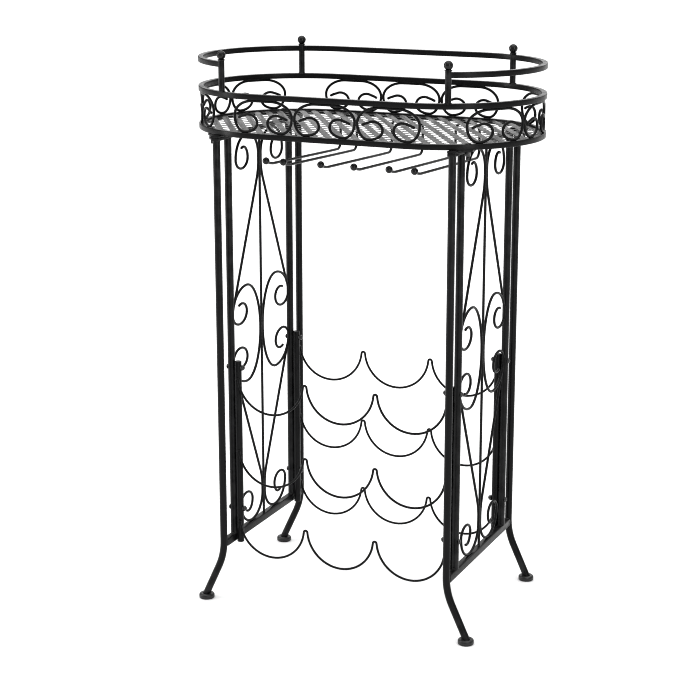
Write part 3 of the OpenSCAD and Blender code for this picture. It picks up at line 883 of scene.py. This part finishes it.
def hangers():
    front = middle("hanger_balls").y
    ball_z = middle("hanger_balls").z
    turn = 12 * mm
    balls = []
    for name in ("left", "middle", "right"):
        node = f"hanger_{name}"
        low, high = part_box(node)
        x0, half = (low.x + high.x) / 2, (high.x - low.x) / 2 - hanger_wire_r
        back = high.y - hanger_wire_r
        floor_z, top = low.z + hanger_wire_r, high.z - hanger_wire_r
        run = floor_z + 10 * mm
        arm = bow((front, ball_z), (front + 13 * mm, run), (front + 30 * mm, run - 0.2 * mm), 10)
        arm += bow((back - turn - 30 * mm, floor_z + 1.2 * mm), (back - turn, floor_z),
                   (back - turn, floor_z), 3)
        arm += arc((back - turn, floor_z + turn), turn, turn, -90, 0, 10)
        side_on = [(half, b, z) for b, z in thinned(arm)]
        over = [(half - turn + a, back, z) for a, z in arc((0, top - turn), turn, turn, 0, 90, 10)]
        arm = side_on + over
        whole = arm + [(-x, y, z) for x, y, z in reversed(arm)]
        points = thinned([(x0 + x, y, z) for x, y, z in whole])
        piece = swept(f"stem_wire_{name}", [points], radius=hanger_wire_r, sides=14, tips=False)
        put_on(piece, wire_iron, "iron_black", node)
        balls += [Matrix.Translation((x0 + sx * half, front, ball_z)) for sx in (-1, 1)]
        for sx in (-1, 1):
            under_rim = (x0 + sx * (half - turn) * 0.8, back, top + hanger_wire_r)
            weld("hangers", under_rim, (1, 0, 0), 3, 1.6)
    outline = arc((0, 0), ball_r, ball_r, -90, 90, 8)
    piece = repeated("stem_balls", turned_mesh(outline, 32), balls)
    put_on(piece, ball_black, "iron_black", "hanger_balls")


# ---------- studio ----------

def softbox(name, place, aim, size, watts):
    light = bpy.data.lights.new(name, "AREA")
    light.shape = "RECTANGLE"
    light.size, light.size_y = size
    light.energy = watts
    lamp = new_object(name, light)
    lamp.visible_camera = False
    lamp.location = place
    lamp.rotation_euler = (Vector(aim) - Vector(place)).to_track_quat("-Z", "Y").to_euler()


def studio():
    bm = bmesh.new()
    bmesh.ops.create_grid(bm, x_segments=1, y_segments=1, size=20)
    ground = settle("studio_floor", bm)
    pale = Finish("pale_floor")
    tone = pale.ramp(pale.noise(3, detail=3), 0.86, 0.9)
    grey = pale.node("ShaderNodeCombineColor")
    for channel in grey.inputs[:3]:
        pale.join(tone, channel)
    pale.join(grey.outputs[0], pale.shader.inputs["Base Color"])
    pale.shader.inputs["Roughness"].default_value = 0.8
    pale.shader.inputs["Specular IOR Level"].default_value = 0.1
    ground.data.materials.append(pale.material)

    world = bpy.data.worlds.new("studio")
    bpy.context.scene.world = world
    world.use_nodes = True
    tree = world.node_tree
    sky = tree.nodes["Background"]
    place = tree.nodes.new("ShaderNodeTexCoord")
    height = tree.nodes.new("ShaderNodeSeparateXYZ")
    glow = tree.nodes.new("ShaderNodeMapRange")
    seen = tree.nodes.new("ShaderNodeLightPath")
    choice = tree.nodes.new("ShaderNodeMix")
    glow.inputs["From Min"].default_value = 0.0
    glow.inputs["From Max"].default_value = 0.8
    glow.inputs["To Min"].default_value = 0.25
    glow.inputs["To Max"].default_value = 1.0
    choice.inputs[3].default_value = 1.0
    tree.links.new(place.outputs["Generated"], height.inputs[0])
    tree.links.new(height.outputs["Z"], glow.inputs["Value"])
    tree.links.new(seen.outputs["Is Camera Ray"], choice.inputs[0])
    tree.links.new(glow.outputs["Result"], choice.inputs[2])
    tree.links.new(choice.outputs[0], sky.inputs["Strength"])
    sky.inputs["Color"].default_value = (1, 1, 1, 1)

    ceiling = bpy.data.lights.new("ceiling", "SUN")
    ceiling.energy = 1.75
    ceiling.angle = math.radians(70)
    new_object("ceiling", ceiling)
    softbox("left_strip", (-2.4, -1.2, 1.3), (0, 0, 0.5), (0.35, 2.4), 30)
    softbox("right_strip", (2.1, -1.7, 1.3), (0, 0, 0.5), (0.25, 2.4), 18)
    softbox("back_bank", (-0.9, 4.2, 1.9), (0, 0, 0.75), (4.2, 1.6), 30)
    bpy.context.scene.cycles.filter_width = 1.0
    bpy.context.scene.view_settings.view_transform = "Standard"


def camera():
    azimuth, elevation, distance = math.radians(24.14), math.radians(14.83), 2.781
    aim = Vector((-0.032, 0, 0.387))
    back = Vector((math.sin(azimuth) * math.cos(elevation),
                   -math.cos(azimuth) * math.cos(elevation), math.sin(elevation)))
    lens = bpy.data.cameras.new("camera")
    lens.lens = 93
    lens.sensor_width = 36
    lens.clip_end = 100
    eye = new_object("camera", lens)
    eye.location = aim + back * distance
    eye.rotation_euler = (-back).to_track_quat("-Z", "Y").to_euler()
    bpy.context.scene.camera = eye


camera()
studio()
side_frames()
cradles()
cradle_fasteners()
rings()
rail_uprights()
gallery_scrolls()
mesh_floor()
corner_plates()
hangers()
weld_beads()
